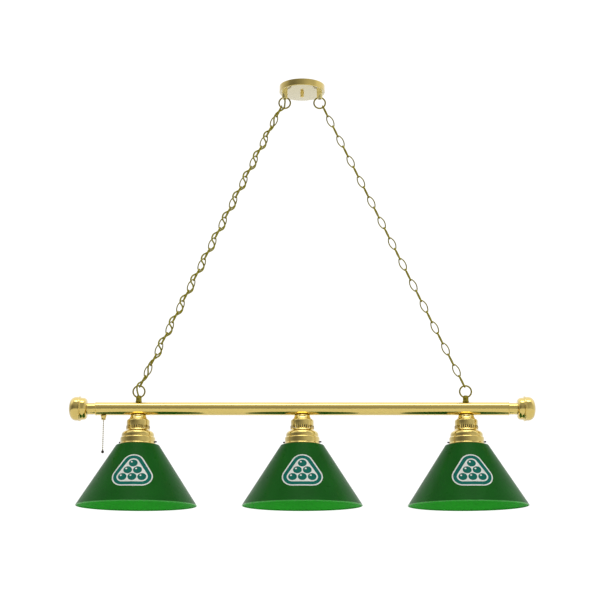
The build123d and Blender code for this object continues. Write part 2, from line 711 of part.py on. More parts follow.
# ---------------------------------------------------------------- pull switch
STEM_R = 4.9
STEM_BOTTOM = up(286.5)
FERRULE_TOP = BAR_BOTTOM - 0.1
FERRULE_BOTTOM = up(273.0)
with BuildPart() as switch_body:
    with BuildSketch(Plane.XY.offset(up(298))):
        with Locations((SWITCH_X, 0)):
            RectangleRounded(21, 17, 2)
    extrude(amount=15)
    with BuildSketch(Plane.XY.offset(STEM_BOTTOM)):
        with Locations((SWITCH_X, 0)):
            Circle(STEM_R)
    extrude(amount=up(298) - STEM_BOTTOM)
    with BuildSketch(Plane.XY.offset(STEM_BOTTOM)):
        with Locations((SWITCH_X, 0)):
            Circle(1.1)
    extrude(amount=20, mode=Mode.SUBTRACT)
save(switch_body.part, "switch_body")
save(hex_nut(SWITCH_X, BAR_Z - NUT_REACH, STEM_R + 0.05), "switch_nut")

ferrule_points = [
    (STEM_R + 0.05, FERRULE_TOP), (9.1, FERRULE_TOP), (9.1, up(284.6)), (7.1, up(275.2)),
    (5.6, FERRULE_BOTTOM), (1.6, FERRULE_BOTTOM), (1.6, up(274.2)), (STEM_R + 0.05, up(274.6)),
]
save(spun(ferrule_points).moved(Location((SWITCH_X, 0, 0))), "switch_ferrule")

PULL_GAP = 0.3
with BuildPart() as switch_plunger:
    with BuildSketch(Plane.XY.offset(FIRST_BEAD_Z + BEAD_R + PULL_GAP)):
        with Locations((SWITCH_X, 0)):
            Circle(0.8)
    extrude(amount=up(302) - FIRST_BEAD_Z - BEAD_R - PULL_GAP)
    with BuildSketch(Plane.XY.offset(up(284.2))):
        with Locations((SWITCH_X, 0)):
            Circle(3.0)
    extrude(amount=1.6)
save(switch_plunger.part, "switch_plunger")

with BuildPart() as swivel_bead:
    with Locations((SWITCH_X, 0, FIRST_BEAD_Z)):
        Sphere(BEAD_R)
save(swivel_bead.part, "swivel_bead")

last_bead_z = FIRST_BEAD_Z - (BEAD_COUNT - 1) * BEAD_PITCH
with BuildPart() as ball_chain:
    with BuildSketch(Plane.XY.offset(last_bead_z)):
        with Locations((SWITCH_X, 0)):
            Circle(0.6)
    extrude(amount=FIRST_BEAD_Z - BEAD_R - PULL_GAP - last_bead_z)
    for number in range(1, BEAD_COUNT):
        with Locations((SWITCH_X, 0, FIRST_BEAD_Z - number * BEAD_PITCH)):
            Sphere(BEAD_R)
save(ball_chain.part, "ball_chain")

BELL_TOP = last_bead_z - BEAD_R
bell_points = [
    (0, BELL_TOP), (1.7, BELL_TOP), (1.9, BELL_TOP - 1.2), (3.6, BELL_TOP - 2.6), (4.6, BELL_TOP - 5.2),
    (4.4, BELL_TOP - 8.4), (2.6, BELL_TOP - 10.0), (0, BELL_TOP - 10.4),
]
save(spun(bell_points).moved(Location((SWITCH_X, 0, 0))), "pull_knob")
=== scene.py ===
"""Looks of a three-shade pool table lamp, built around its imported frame.

The frame's units are metres: the origin is the centre of the canopy's top rim, +Z is
up, +X runs along the bar and -Y is the front. Outlines are written in millimetres and
scaled as they are built, with heights above the shades' rims unless they say otherwise.
"""

import json
from math import atan2, ceil, cos, pi, radians, sin, tan

import bmesh
import bpy
from mathutils import Matrix, Vector


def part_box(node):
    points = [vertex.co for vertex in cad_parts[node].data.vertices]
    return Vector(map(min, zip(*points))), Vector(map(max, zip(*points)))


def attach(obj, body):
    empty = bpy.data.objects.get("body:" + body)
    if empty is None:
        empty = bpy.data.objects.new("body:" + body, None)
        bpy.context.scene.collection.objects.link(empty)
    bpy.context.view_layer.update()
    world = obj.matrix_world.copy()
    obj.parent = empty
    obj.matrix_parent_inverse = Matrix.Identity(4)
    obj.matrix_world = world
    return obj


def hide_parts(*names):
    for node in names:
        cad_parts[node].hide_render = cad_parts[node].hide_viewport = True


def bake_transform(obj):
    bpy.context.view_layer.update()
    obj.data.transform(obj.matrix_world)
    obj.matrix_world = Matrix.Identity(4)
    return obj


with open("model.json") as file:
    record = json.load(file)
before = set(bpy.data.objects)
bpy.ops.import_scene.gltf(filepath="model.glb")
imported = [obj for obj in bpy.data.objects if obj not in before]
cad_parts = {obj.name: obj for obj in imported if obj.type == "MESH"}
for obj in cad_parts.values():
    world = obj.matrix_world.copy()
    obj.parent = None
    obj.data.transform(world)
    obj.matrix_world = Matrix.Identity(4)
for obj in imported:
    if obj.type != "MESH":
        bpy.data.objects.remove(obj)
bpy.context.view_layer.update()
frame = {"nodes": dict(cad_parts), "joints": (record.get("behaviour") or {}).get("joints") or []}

# ---------------------------------------------------------------- sizes from the frame
MM = 0.001
SIDES = {"left": -1, "right": 1}
JOINTS = {joint["name"]: joint for joint in frame["joints"]}


def middle(node):
    """Centre of a CAD node's box."""
    low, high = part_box(node)
    return (low + high) / 2


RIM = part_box("center_shade")[0].z
SHADE_CENTRES = {name: middle(f"{name}_shade").x for name in ("left", "center", "right")}
BAR_Z = middle("bar_tube").z
BAR_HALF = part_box("bar_tube")[1].x
LOOP_X = middle("canopy_loop_right").x
SWITCH_X = middle("switch_ferrule").x
CANOPY_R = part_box("canopy_pan")[1].x / MM
CANOPY_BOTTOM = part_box("canopy_pan")[0].z / MM
FIRST_BEAD = middle("swivel_bead")

RING_WIRE_R = 2.25 * MM
LINK_WIRE_R = 1.7 * MM
# Links and rings look stouter than the CAD's: their centrelines move out by this and their
# wire's radius grows by as much, so the inner edges that bear on each other stay in place.
LINK_FLARE = 0.18 * MM
RING_FLARE = 0.3 * MM
LINK_WIDTH = 22.5 * MM
LINK_END_R = 4.6 * MM            # centreline radius of a link's ends
LINKS = 27
CONTACT_GAP = 0.3 * MM
CORD_R = 2.75 * MM
CORD_TWIST = 24 * MM             # length of one turn of the conductors
# The cord's route points beside the links' contacts: how far across the chain, how far
# forward or back, and how far further down as a share of the pitch.
CORD_OUT = (17.0, 20.2, 0.126)   # outward and forward, below edge-on links
CORD_IN = (17.5, 18.9, -0.456)   # inward and back, below face-on links
CORD_ENDS = (10.5, 10.5, 0.0)    # the two contacts next to each end, either way
BRASS_SHEET = 0.9
SHADE_SHEET = 0.8
THREAD_R = 4.9
CLEAR_R = 5.1
STUD_CLEAR_R = 3.3
NIPPLE_BORE_R = 3.6
BEAD_R = 2.2
BEAD_WIRE_R = 0.55 * MM
BEAD_PITCH = 6.4
BEADS = 14                       # below the swivel bead

# ---------------------------------------------------------------- outlines


def arc(start, through, end, steps=10):
    """Points of the arc from start to end through a third point, both ends included."""
    (x1, y1), (x2, y2), (x3, y3) = start, through, end
    scale = 2 * (x1 * (y2 - y3) + x2 * (y3 - y1) + x3 * (y1 - y2))
    s1, s2, s3 = x1**2 + y1**2, x2**2 + y2**2, x3**2 + y3**2
    cx = (s1 * (y2 - y3) + s2 * (y3 - y1) + s3 * (y1 - y2)) / scale
    cy = (s1 * (x3 - x2) + s2 * (x1 - x3) + s3 * (x2 - x1)) / scale
    begin, via, finish = (atan2(y - cy, x - cx) for x, y in (start, through, end))
    turn = (finish - begin) % (2 * pi)
    if (via - begin) % (2 * pi) > turn:
        turn -= 2 * pi
    radius = ((x1 - cx) ** 2 + (y1 - cy) ** 2) ** 0.5
    angles = [begin + turn * step / steps for step in range(steps + 1)]
    return [(cx + radius * cos(angle), cy + radius * sin(angle)) for angle in angles]


def round_corner(before, corner, after, radius, steps=6):
    """Points of the fillet of that radius at a corner."""
    here = Vector(corner)
    arriving = (Vector(before) - here).normalized()
    leaving = (Vector(after) - here).normalized()
    half = arriving.angle(leaving) / 2
    reach = radius * cos(half) / sin(half)
    centre = here + (arriving + leaving).normalized() * (radius / sin(half))
    start = here + arriving * reach - centre
    end = here + leaving * reach - centre
    spokes = [start.slerp(end, step / steps).normalized() for step in range(steps + 1)]
    return [tuple(centre + spoke * radius) for spoke in spokes]


def bezier(p0, p1, p2, p3, steps=16):
    """Points of a cubic curve, both ends included."""
    points = []
    for step in range(steps + 1):
        t = step / steps
        weights = ((1 - t) ** 3, 3 * t * (1 - t) ** 2, 3 * t**2 * (1 - t), t**3)
        point = sum((Vector(p) * w for p, w in zip((p0, p1, p2, p3), weights)), Vector((0, 0)))
        points.append(tuple(point))
    return points


def sheet_outline(outside, thickness):
    """Closed outline of a sheet whose outer face is an open outline; the material is on its right."""
    inside = []
    for index, (x, y) in enumerate(outside):
        here = Vector((x, y))
        edges = []
        if index:
            edges.append((here - Vector(outside[index - 1])).normalized())
        if index + 1 < len(outside):
            edges.append((Vector(outside[index + 1]) - here).normalized())
        normals = [Vector((edge.y, -edge.x)) for edge in edges]
        mean = sum(normals, Vector((0, 0))).normalized()
        reach = thickness / max(0.5, mean.dot(normals[0]))
        inside.append(tuple(here + mean * reach))
    return list(outside) + inside[::-1]


def thread_outline(low, high, crest, root, pitch):
    """Rolled thread seen from the side, as (radius, height) points going up."""
    turns = max(1, round((high - low) / pitch))
    step = (high - low) / turns
    points = [(root, low)]
    for turn in range(turns):
        points.append((crest, low + (turn + 0.5) * step))
        points.append((root, low + (turn + 1) * step))
    return points


# ---------------------------------------------------------------- meshes


def lathe(bm, outline, place=Matrix.Identity(4), segments=96, bands=()):
    """Turns a closed (radius, height) outline in millimetres about place's Z axis.

    Each of bands is a point of the outline and the material its faces take from there on.
    """
    rings = []
    for radius, height in outline:
        if radius < 1e-6:
            rings.append([bm.verts.new(place @ Vector((0, 0, height * MM)))])
            continue
        turns = [2 * pi * step / segments for step in range(segments)]
        rings.append([
            bm.verts.new(place @ Vector((radius * MM * cos(turn), radius * MM * sin(turn), height * MM)))
            for turn in turns
        ])
    for index, ring in enumerate(rings):
        following = rings[(index + 1) % len(rings)]
        if len(ring) == 1 and len(following) == 1:
            continue
        for step in range(segments):
            after = (step + 1) % segments
            corners = [ring[step % len(ring)], ring[after % len(ring)]]
            corners += [following[after % len(following)], following[step % len(following)]]
            face = bm.faces.new(list(dict.fromkeys(corners)))
            for first, material in bands:
                if index >= first:
                    face.material_index = material


def sweep(bm, path, radius, sides=12, closed=False, material=0):
    """A round wire along points in metres, with ends unless it is closed.

    Its UV runs along the wire in metres, and once round it.
    """
    count = len(path)
    uv = bm.loops.layers.uv.verify()
    lengths = [0.0]
    for before, after in zip(path, path[1:] + path[:1]):
        lengths.append(lengths[-1] + (after - before).length)
    rings = []
    side = None
    for index, point in enumerate(path):
        before = path[index - 1] if closed or index else point
        after = path[(index + 1) % count] if closed or index + 1 < count else point
        along = (after - before).normalized()
        if side is None:
            side = along.orthogonal()
        side = (side - along * side.dot(along)).normalized()
        across = along.cross(side)
        turns = [2 * pi * step / sides for step in range(sides)]
        rings.append([
            bm.verts.new(point + (side * cos(turn) + across * sin(turn)) * radius)
            for turn in turns
        ])
    for index in range(count if closed else count - 1):
        ring, following = rings[index], rings[(index + 1) % count]
        for step in range(sides):
            after = (step + 1) % sides
            face = bm.faces.new([ring[step], ring[after], following[after], following[step]])
            face.material_index = material
            for loop, (far, turn) in zip(face.loops, ((0, 0), (0, 1), (1, 1), (1, 0))):
                loop[uv].uv = (lengths[index + far], (step + turn) / sides)
    if not closed:
        bm.faces.new(rings[0][::-1])
        bm.faces.new(rings[-1])


def prism(bm, place, outline, depth):
    """A straight cutter on place's XY plane, from an outline and a depth in millimetres."""
    low = [bm.verts.new(place @ Vector((x * MM, y * MM, 0))) for x, y in outline]
    high = [bm.verts.new(place @ Vector((x * MM, y * MM, depth * MM))) for x, y in outline]
    bm.faces.new(low[::-1])
    bm.faces.new(high)
    for index in range(len(outline)):
        after = (index + 1) % len(outline)
        bm.faces.new([low[index], low[after], high[after], high[index]])


def disc_outline(radius, x=0.0, y=0.0, steps=28):
    """A circle's outline."""
    turns = [2 * pi * step / steps for step in range(steps)]
    return [(x + radius * cos(turn), y + radius * sin(turn)) for turn in turns]


def box_outline(length, width):
    """A rectangle's outline, long along X."""
    return [(x * length / 2, y * width / 2) for x, y in ((1, 1), (-1, 1), (-1, -1), (1, -1))]


def smoothed(mesh, sharp_angle):
    """Smooth shading with edges sharper than an angle in degrees left crisp."""
    mesh.polygons.foreach_set("use_smooth", [True] * len(mesh.polygons))
    mesh.set_sharp_from_angle(angle=radians(sharp_angle))


def new_object(bm, name, materials, sharp_angle):
    """A mesh object in the scene from a bmesh, which is freed."""
    bmesh.ops.recalc_face_normals(bm, faces=bm.faces)
    mesh = bpy.data.meshes.new(name)
    bm.to_mesh(mesh)
    bm.free()
    for material in materials:
        mesh.materials.append(material)
    smoothed(mesh, sharp_angle)
    obj = bpy.data.objects.new(name, mesh)
    bpy.context.scene.collection.objects.link(obj)
    return obj


def piece(bm, name, body, materials, nodes=(), cutter=None, sharp_angle=32):
    """Makes a bmesh a piece of the lamp: cut by another bmesh, riding on a body and standing for nodes."""
    obj = new_object(bm, name, materials, sharp_angle)
    if cutter is not None:
        tool = new_object(cutter, f"{name}_cutter", materials, sharp_angle)
        cut = obj.modifiers.new("cut", "BOOLEAN")
        cut.operation = "DIFFERENCE"
        cut.solver = "MANIFOLD"
        cut.object = tool
        graph = bpy.context.evaluated_depsgraph_get()
        obj.data = bpy.data.meshes.new_from_object(obj.evaluated_get(graph))
        obj.modifiers.clear()
        bpy.data.objects.remove(tool)
        smoothed(obj.data, sharp_angle)
    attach(obj, body)
    if nodes:
        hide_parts(*nodes)
    return obj


def upright(x, z=RIM, y=0.0):
    """A place on the row's Z axis at x, with its origin at height z."""
    return Matrix.Translation((x, y, z))


def lying(side):
    """A place whose Z axis runs along the bar, away from the middle on that side."""
    return Matrix.Translation((0, 0, BAR_Z)) @ Matrix.Rotation(side * pi / 2, 4, "Y")


def radial(x, height, turn, reach):
    """A place in a shade, at a height, facing out from the axis at an azimuth in degrees."""
    return (
        upright(x, RIM + height * MM)
        @ Matrix.Rotation(radians(turn), 4, "Z")
        @ Matrix.Rotation(pi / 2, 4, "Y")
        @ Matrix.Translation((0, 0, reach * MM))
    )


# ---------------------------------------------------------------- materials
WHITE = (1, 1, 1, 1)


class Surface:
    """A node material: constants go on the Principled sockets, and nodes feed colour, roughness and bump."""

    def __init__(self, name, **constants):
        self.material = bpy.data.materials.new(name)
        self.material.use_nodes = True
        self.nodes = self.material.node_tree.nodes
        self.links = self.material.node_tree.links
        self.shader = self.nodes["Principled BSDF"]
        for socket, value in constants.items():
            self.shader.inputs[socket.replace("_", " ")].default_value = value
        self.place = self.nodes.new("ShaderNodeTexCoord").outputs["Object"]

    def node(self, kind, settings=None, **inputs):
        """A new node with inputs by name, each a value or another node's output."""
        made = self.nodes.new(f"ShaderNode{kind}")
        for name, value in (settings or {}).items():
            setattr(made, name, value)
        for name, value in inputs.items():
            socket = made.inputs[name.replace("_", " ")]
            if isinstance(value, bpy.types.NodeSocket):
                self.links.new(value, socket)
            else:
                socket.default_value = value
        return made

    def noise(self, scale, detail=2.0, stretch=None):
        """Noise through the piece, with scale in waves a metre, stretched along an axis if asked."""
        place = self.place
        if stretch:
            place = self.node("Mapping", Vector=place, Scale=stretch).outputs["Vector"]
        made = self.node("TexNoise", Vector=place, Scale=scale, Detail=detail)
        return made.outputs["Fac"]

    def ramp(self, factor, low, high, start=0.3, end=0.7):
        """A factor mapped from start..end to low..high."""
        names = {"From_Min": start, "From_Max": end, "To_Min": low, "To_Max": high}
        return self.node("MapRange", Value=factor, **names).outputs["Result"]

    def blend(self, factor, first, second):
        """Two colours mixed by a factor; either may be another node's output."""
        made = self.nodes.new("ShaderNodeMix")
        made.data_type = "RGBA"
        for index, value in ((0, factor), (6, first), (7, second)):
            if isinstance(value, bpy.types.NodeSocket):
                self.links.new(value, made.inputs[index])
            else:
                made.inputs[index].default_value = value if index == 0 else (*value, 1)
        return made.outputs[2]

    def feed(self, socket, output):
        """Connects an output to a Principled socket."""
        self.links.new(output, self.shader.inputs[socket])

    def bump(self, height, strength, distance):
        """Relief from a height field; distance in millimetres."""
        made = self.node("Bump", Strength=strength, Distance=distance * MM, Height=height)
        self.feed("Normal", made.outputs["Normal"])


def brass(
    name, tone, tarnish, roughness, grain=(1, 1, 1), age=0.35, relief=0.05, lacquer=1.0, edge=WHITE
):
    """Polished, lacquered brass: drifting tone, fine polish marks and darker tarnished spots."""
    surface = Surface(
        name, Metallic=1.0, Specular_Tint=edge, Coat_Weight=lacquer, Coat_Roughness=0.06, Coat_IOR=1.62
    )
    drift = surface.ramp(surface.noise(9, 3), 0.0, age)
    colour = surface.blend(drift, tone, tarnish)
    spots = surface.ramp(surface.noise(260, 4), 0.0, 0.25, 0.62, 0.8)
    surface.feed("Base Color", surface.blend(spots, colour, tarnish))
    marks = surface.noise(900, 3, grain)
    surface.feed("Roughness", surface.ramp(marks, roughness * 0.75, roughness * 1.35))
    surface.bump(marks, relief, 0.02)
    return surface.material


def enamel(name, tone, shade_tone, roughness, specular):
    """Baked enamel on spun steel: orange peel, faint drift in tone and a few dull patches."""
    surface = Surface(name, Specular_IOR_Level=specular)
    drift = surface.ramp(surface.noise(14, 3), 0.0, 1.0)
    surface.feed("Base Color", surface.blend(drift, tone, shade_tone))
    patches = surface.noise(38, 4)
    surface.feed("Roughness", surface.ramp(patches, roughness * 0.88, roughness * 1.12))
    surface.bump(surface.noise(420, 2), 0.1, 0.06)
    return surface.material


def plain(name, tone, other, roughness, scale=60, relief=0.1, **constants):
    """A dull solid with two close tones, uneven gloss and a fine surface."""
    surface = Surface(name, **constants)
    surface.feed("Base Color", surface.blend(surface.ramp(surface.noise(scale, 4), 0.0, 1.0), tone, other))
    grain = surface.noise(scale * 12, 3)
    surface.feed("Roughness", surface.ramp(grain, roughness * 0.85, roughness * 1.15))
    surface.bump(grain, relief, 0.05)
    return surface.material


def cord_jacket():
    """Clear gold jacket over two twisted conductors, which show as slanting bands."""
    surface = Surface(
        "cord_jacket", Coat_Weight=0.15, Coat_Roughness=0.2, Coat_IOR=1.45, Specular_IOR_Level=0.3
    )
    route = surface.nodes.new("ShaderNodeUVMap").outputs["UV"]
    parts = surface.node("SeparateXYZ", Vector=route).outputs
    turns = surface.node("Math", {"operation": "MULTIPLY"})
    surface.links.new(parts["X"], turns.inputs[0])
    turns.inputs[1].default_value = 1 / CORD_TWIST
    both = surface.node("Math", {"operation": "ADD"})
    surface.links.new(turns.outputs[0], both.inputs[0])
    surface.links.new(parts["Y"], both.inputs[1])
    angle = surface.node("Math", {"operation": "MULTIPLY"})
    surface.links.new(both.outputs[0], angle.inputs[0])
    angle.inputs[1].default_value = 4 * pi
    wave = surface.node("Math", {"operation": "SINE"})
    surface.links.new(angle.outputs[0], wave.inputs[0])
    twist = surface.ramp(wave.outputs[0], 0.0, 1.0, -1.0, 1.0)
    surface.feed("Base Color", surface.blend(twist, CORD_DARK, CORD_LIGHT))
    surface.feed("Roughness", surface.ramp(surface.noise(500, 3), 0.3, 0.42))
    surface.bump(twist, 0.4, 0.3)
    return surface.material


GOLD = (0.83, 0.63, 0.16)
GOLD_TARNISH = (0.62, 0.44, 0.09)
OLD_EDGE = (0.62, 0.55, 0.12, 1)         # what old, dull brass reflects at a glancing angle
CORD_DARK = (0.27, 0.235, 0.012)
CORD_LIGHT = (0.42, 0.37, 0.03)
ENAMEL = (0.006, 0.115, 0.007)
ENAMEL_SHADE = (0.005, 0.096, 0.006)
# The shade's inside is the same green enamel as its outside, painted brighter: painted light, as if lit
# strongly from the floor.
PAINTED_LIT_INSIDE = (0.021, 0.40, 0.02)
PAINTED_LIT_INSIDE_TONE = (0.018, 0.35, 0.018)

polished_brass = brass("polished_brass", GOLD, GOLD_TARNISH, 0.13)
bar_brass = brass("bar_brass", GOLD, GOLD_TARNISH, 0.08, grain=(0.05, 1, 1), age=0.15, relief=0.012)
# Paler, greyer brass for the canopy's underside: a painted reflection of the bright floor.
painted_reflection_brass = brass("painted_reflection_brass", (0.76, 0.68, 0.42), (0.7, 0.61, 0.34), 0.16, age=0.2, relief=0.03)
collar_brass = brass("collar_brass", (0.82, 0.70, 0.27), (0.66, 0.52, 0.15), 0.16, age=0.3)
chain_brass = brass(
    "chain_brass", (0.36, 0.31, 0.04), (0.26, 0.215, 0.022), 0.34,
    age=0.5, relief=0.12, lacquer=0.05, edge=OLD_EDGE,
)
ring_brass = brass(
    "ring_brass", (0.36, 0.30, 0.04), (0.26, 0.20, 0.025), 0.35,
    age=0.4, relief=0.12, lacquer=0.05, edge=OLD_EDGE,
)
# Near-black brass for the insides of bores: painted shade where little light reaches.
painted_shade_bore = brass("painted_shade_bore", (0.05, 0.04, 0.018), (0.03, 0.022, 0.01), 0.6, relief=0.12, lacquer=0.0)
bead_brass = brass("bead_brass", (0.5, 0.43, 0.2), (0.36, 0.29, 0.11), 0.26, lacquer=0.3)
shell_brass = brass("shell_brass", (0.75, 0.6, 0.25), (0.5, 0.38, 0.14), 0.3)
green_enamel = enamel("green_enamel", ENAMEL, ENAMEL_SHADE, 0.3, 0.045)
# The inside and the rim's bead take the brighter green, which is painted light.
green_enamel_painted_lit_inside = enamel("green_enamel_painted_lit_inside", PAINTED_LIT_INSIDE, PAINTED_LIT_INSIDE_TONE, 0.4, 0.1)
green_enamel_rim = enamel("green_enamel_rim", PAINTED_LIT_INSIDE, PAINTED_LIT_INSIDE_TONE, 0.16, 0.5)
print_white = plain(
    "print_white", (0.86, 0.87, 0.82), (0.78, 0.8, 0.74), 0.42, relief=0.05, Specular_IOR_Level=0.05,
)
print_teal = plain(
    "print_teal", (0.002, 0.165, 0.122), (0.002, 0.14, 0.102), 0.4, relief=0.05, Specular_IOR_Level=0.05,
)
bronze_dark = plain("bronze_dark", (0.035, 0.024, 0.016), (0.07, 0.045, 0.025), 0.38, 180, Metallic=0.85)
plated_steel = plain("plated_steel", (0.62, 0.6, 0.55), (0.5, 0.49, 0.45), 0.32, 90, Metallic=1.0)
green_screw = plain("green_screw", (0.03, 0.26, 0.08), (0.02, 0.2, 0.06), 0.35, 120, Metallic=0.6)
black_phenolic = plain("black_phenolic", (0.018, 0.017, 0.016), (0.03, 0.028, 0.026), 0.42, 70)
frosted_glass = plain(
    "frosted_glass", (0.9, 0.9, 0.86), (0.86, 0.86, 0.82), 0.34, 40, 0.04,
    Transmission_Weight=0.25, Subsurface_Weight=0.3,
)
bulb_base_aluminium = plain(
    "bulb_base_aluminium", (0.7, 0.69, 0.66), (0.58, 0.57, 0.55), 0.3, 150, Metallic=1.0,
)
cord_plastic = cord_jacket()
lead_insulation = plain("lead_insulation", (0.03, 0.03, 0.032), (0.05, 0.05, 0.05), 0.45, 90)
connector_plastic = plain("connector_plastic", (0.75, 0.2, 0.03), (0.66, 0.16, 0.02), 0.38, 80)

# ---------------------------------------------------------------- canopy
pan = bmesh.new()
pan_side = [
    (CANOPY_R, -0.4),
    *round_corner((CANOPY_R, 0), (CANOPY_R, CANOPY_BOTTOM), (0, CANOPY_BOTTOM), 2.5, 8),
    (0, CANOPY_BOTTOM),
]
pan_inside = [(0, CANOPY_BOTTOM + SHADE_SHEET)]
pan_inside += round_corner(
    (0, CANOPY_BOTTOM + SHADE_SHEET), (CANOPY_R - SHADE_SHEET, CANOPY_BOTTOM + SHADE_SHEET),
    (CANOPY_R - SHADE_SHEET, 0), 1.7,
)
pan_inside += [(CANOPY_R - SHADE_SHEET, -0.3), (CANOPY_R - 0.5, 0), (CANOPY_R - 0.3, 0)]
PAINTED_REFLECTION_FROM = 6                    # point of the pan's corner where its paler face, a painted reflection of the floor, begins
lathe(pan, pan_side + pan_inside, segments=160, bands=[(PAINTED_REFLECTION_FROM, 1)])
pan_holes = bmesh.new()
for x in (-LOOP_X, LOOP_X):
    prism(pan_holes, upright(x, (CANOPY_BOTTOM - 2) * MM), disc_outline(CLEAR_R), 5)
prism(pan_holes, upright(0, (CANOPY_BOTTOM - 2) * MM), disc_outline(STUD_CLEAR_R), 5)
piece(pan, "canopy_shell", "canopy", [polished_brass, painted_reflection_brass], ["canopy_pan"],
      pan_holes)

nut = bmesh.new()
nut_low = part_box("center_nut")[0].z / MM
nut_outline = [
    (0, nut_low), *arc((1.5, nut_low), (5.2, nut_low + 1.2), (6.2, nut_low + 3.6), 8),
    *arc((6.2, nut_low + 3.8), (5.6, nut_low + 5.8), (4.2, nut_low + 7.0), 5),
    *arc((4.2, nut_low + 7.4), (5.7, nut_low + 8.7), (6.2, nut_low + 10.8), 6),
    (6.2, CANOPY_BOTTOM - 0.4), (5.8, CANOPY_BOTTOM), (3.05, CANOPY_BOTTOM),
    (3.05, nut_low + 2), (0, nut_low + 2),
]
lathe(nut, nut_outline, segments=48)
piece(nut, "canopy_nut", "canopy", [polished_brass], ["center_nut"])


def ring_path(x, z, radius, steps=72):
    """Centreline of a wire ring standing in the XZ plane."""
    turns = [2 * pi * step / steps for step in range(steps)]
    return [Vector((x + radius * sin(turn), 0, z + radius * cos(turn))) for turn in turns]


def loop_ring(node, hangs):
    """A loop's ring: its centre and centreline radius, from the CAD loop's box."""
    low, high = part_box(node)
    radius = (high.x - low.x) / 2 - RING_WIRE_R
    edge = low.z + radius + RING_WIRE_R if hangs else high.z - radius - RING_WIRE_R
    return (low.x + high.x) / 2, edge, radius


COLLAR_R = 9.5
COLLAR_BOTTOM = -43.7
for name in SIDES:
    node = f"canopy_loop_{name}"
    x, z, radius = loop_ring(node, hangs=True)
    loop = bmesh.new()
    collar = [
        (THREAD_R, CANOPY_BOTTOM), (COLLAR_R - 0.5, CANOPY_BOTTOM), (COLLAR_R, CANOPY_BOTTOM - 0.5),
        *round_corner((COLLAR_R, CANOPY_BOTTOM), (COLLAR_R, COLLAR_BOTTOM), (0, COLLAR_BOTTOM), 1.4, 6),
        *round_corner((COLLAR_R, COLLAR_BOTTOM), (THREAD_R, COLLAR_BOTTOM), (THREAD_R, 0), 0.6, 4),
    ]
    # From the collar's lower inner corner up through its bore, faces take the near-black brass, a painted
    # shade.
    lathe(loop, collar, upright(x, 0), 64, [(len(collar) - 5, 2)])
    sweep(loop, ring_path(x, z, radius + RING_FLARE), RING_WIRE_R + RING_FLARE, 20, closed=True, material=1)
    piece(loop, f"canopy_ring_{name}", "canopy", [collar_brass, ring_brass, painted_shade_bore], [node])

# ---------------------------------------------------------------- chains
# Each chain is a straight row of links between the point where it hangs on the canopy
# ring and the point where it pulls on the bar ring.
TOP = Vector(JOINTS["swing"]["pos_m"])
BOTTOM = Vector(JOINTS["rock"]["pos_m"])
RUN = (BOTTOM - TOP).length
DOWN = (BOTTOM - TOP) / RUN
HOOK = RING_WIRE_R + CONTACT_GAP         # from a ring's centreline to the hooked link's wire edge
PITCH = (RUN + 2 * HOOK) / LINKS


def link_path(steps=16, seam=0.35 * MM):
    """Centreline of a link in the XZ plane, from one side of its seam round to the other."""
    half = PITCH / 2 + LINK_WIRE_R + CONTACT_GAP / 2
    side = LINK_WIDTH / 2 - LINK_WIRE_R
    end_centre = half - LINK_END_R
    side_r = (side**2 + end_centre**2 - LINK_END_R**2) / (2 * (side - LINK_END_R))
    side_turn = atan2(end_centre, side_r - side)
    end_turn = pi - 2 * side_turn
    opening = seam / 2 / side_r
    stretches = [
        (side - side_r, 0, side_r, opening, side_turn),
        (0, end_centre, LINK_END_R, side_turn, side_turn + end_turn),
        (side_r - side, 0, side_r, pi - side_turn, pi + side_turn),
        (0, -end_centre, LINK_END_R, pi + side_turn, pi + side_turn + end_turn),
        (side - side_r, 0, side_r, -side_turn, -opening),
    ]
    path = []
    for x, z, radius, start, end in stretches:
        for step in range(steps):
            turn = start + (end - start) * step / (steps - 1)
            reach = radius + LINK_FLARE
            point = Vector((x + reach * cos(turn), 0, z + reach * sin(turn)))
            if not path or (point - path[-1]).length > 1e-6:
                path.append(point)
    return path


LINK_PATH = link_path()


def link_place(index, side):
    """Where a link stands; odd links stand edge-on, even ones face the front. Links count from 1."""
    centre = TOP + DOWN * ((index - 0.5) * PITCH - HOOK)
    rise = -DOWN
    if side > 0:
        centre = Vector((-centre.x, centre.y, centre.z))
        rise = Vector((-rise.x, rise.y, rise.z))
    depth = Vector((0, 1, 0))
    across = depth.cross(rise)
    turned = Matrix((across, depth, rise)).transposed().to_4x4()
    quarter = Matrix.Rotation(pi / 2, 4, "Z") if index % 2 else Matrix.Identity(4)
    return Matrix.Translation(centre) @ turned @ quarter


def links(name, numbers, side, body, node):
    """Chain links with those numbers, as one piece."""
    bm = bmesh.new()
    for index in numbers:
        place = link_place(index, side)
        sweep(bm, [place @ point for point in LINK_PATH], LINK_WIRE_R + LINK_FLARE, 14)
    piece(bm, name, body, [chain_brass], [node], sharp_angle=50)


for name, side in SIDES.items():
    links(f"{name}_hanging_link", [1], side, f"upper_link_{name}", f"{name}_top_link")
    links(f"{name}_chain_links", range(2, LINKS), side, f"chain_{name}", f"{name}_chain")
    links(f"{name}_pulling_link", [LINKS], side, f"lower_link_{name}", f"{name}_bottom_link")

# ---------------------------------------------------------------- supply cord
# The cord leaves the left canopy loop, crosses the chain's axis inside every link and
# enters the left bar loop.
OUTWARD = Vector((DOWN.z, 0, -DOWN.x))   # across the left chain, away from the lamp
FRONT = Vector((0, -1, 0))


def chain_point(distance):
    """A point on the left chain's axis, measured down from the canopy ring's wire."""
    return TOP + DOWN * distance


def joint_at(index):
    """Distance down the chain of the contact below a link."""
    return index * PITCH - HOOK


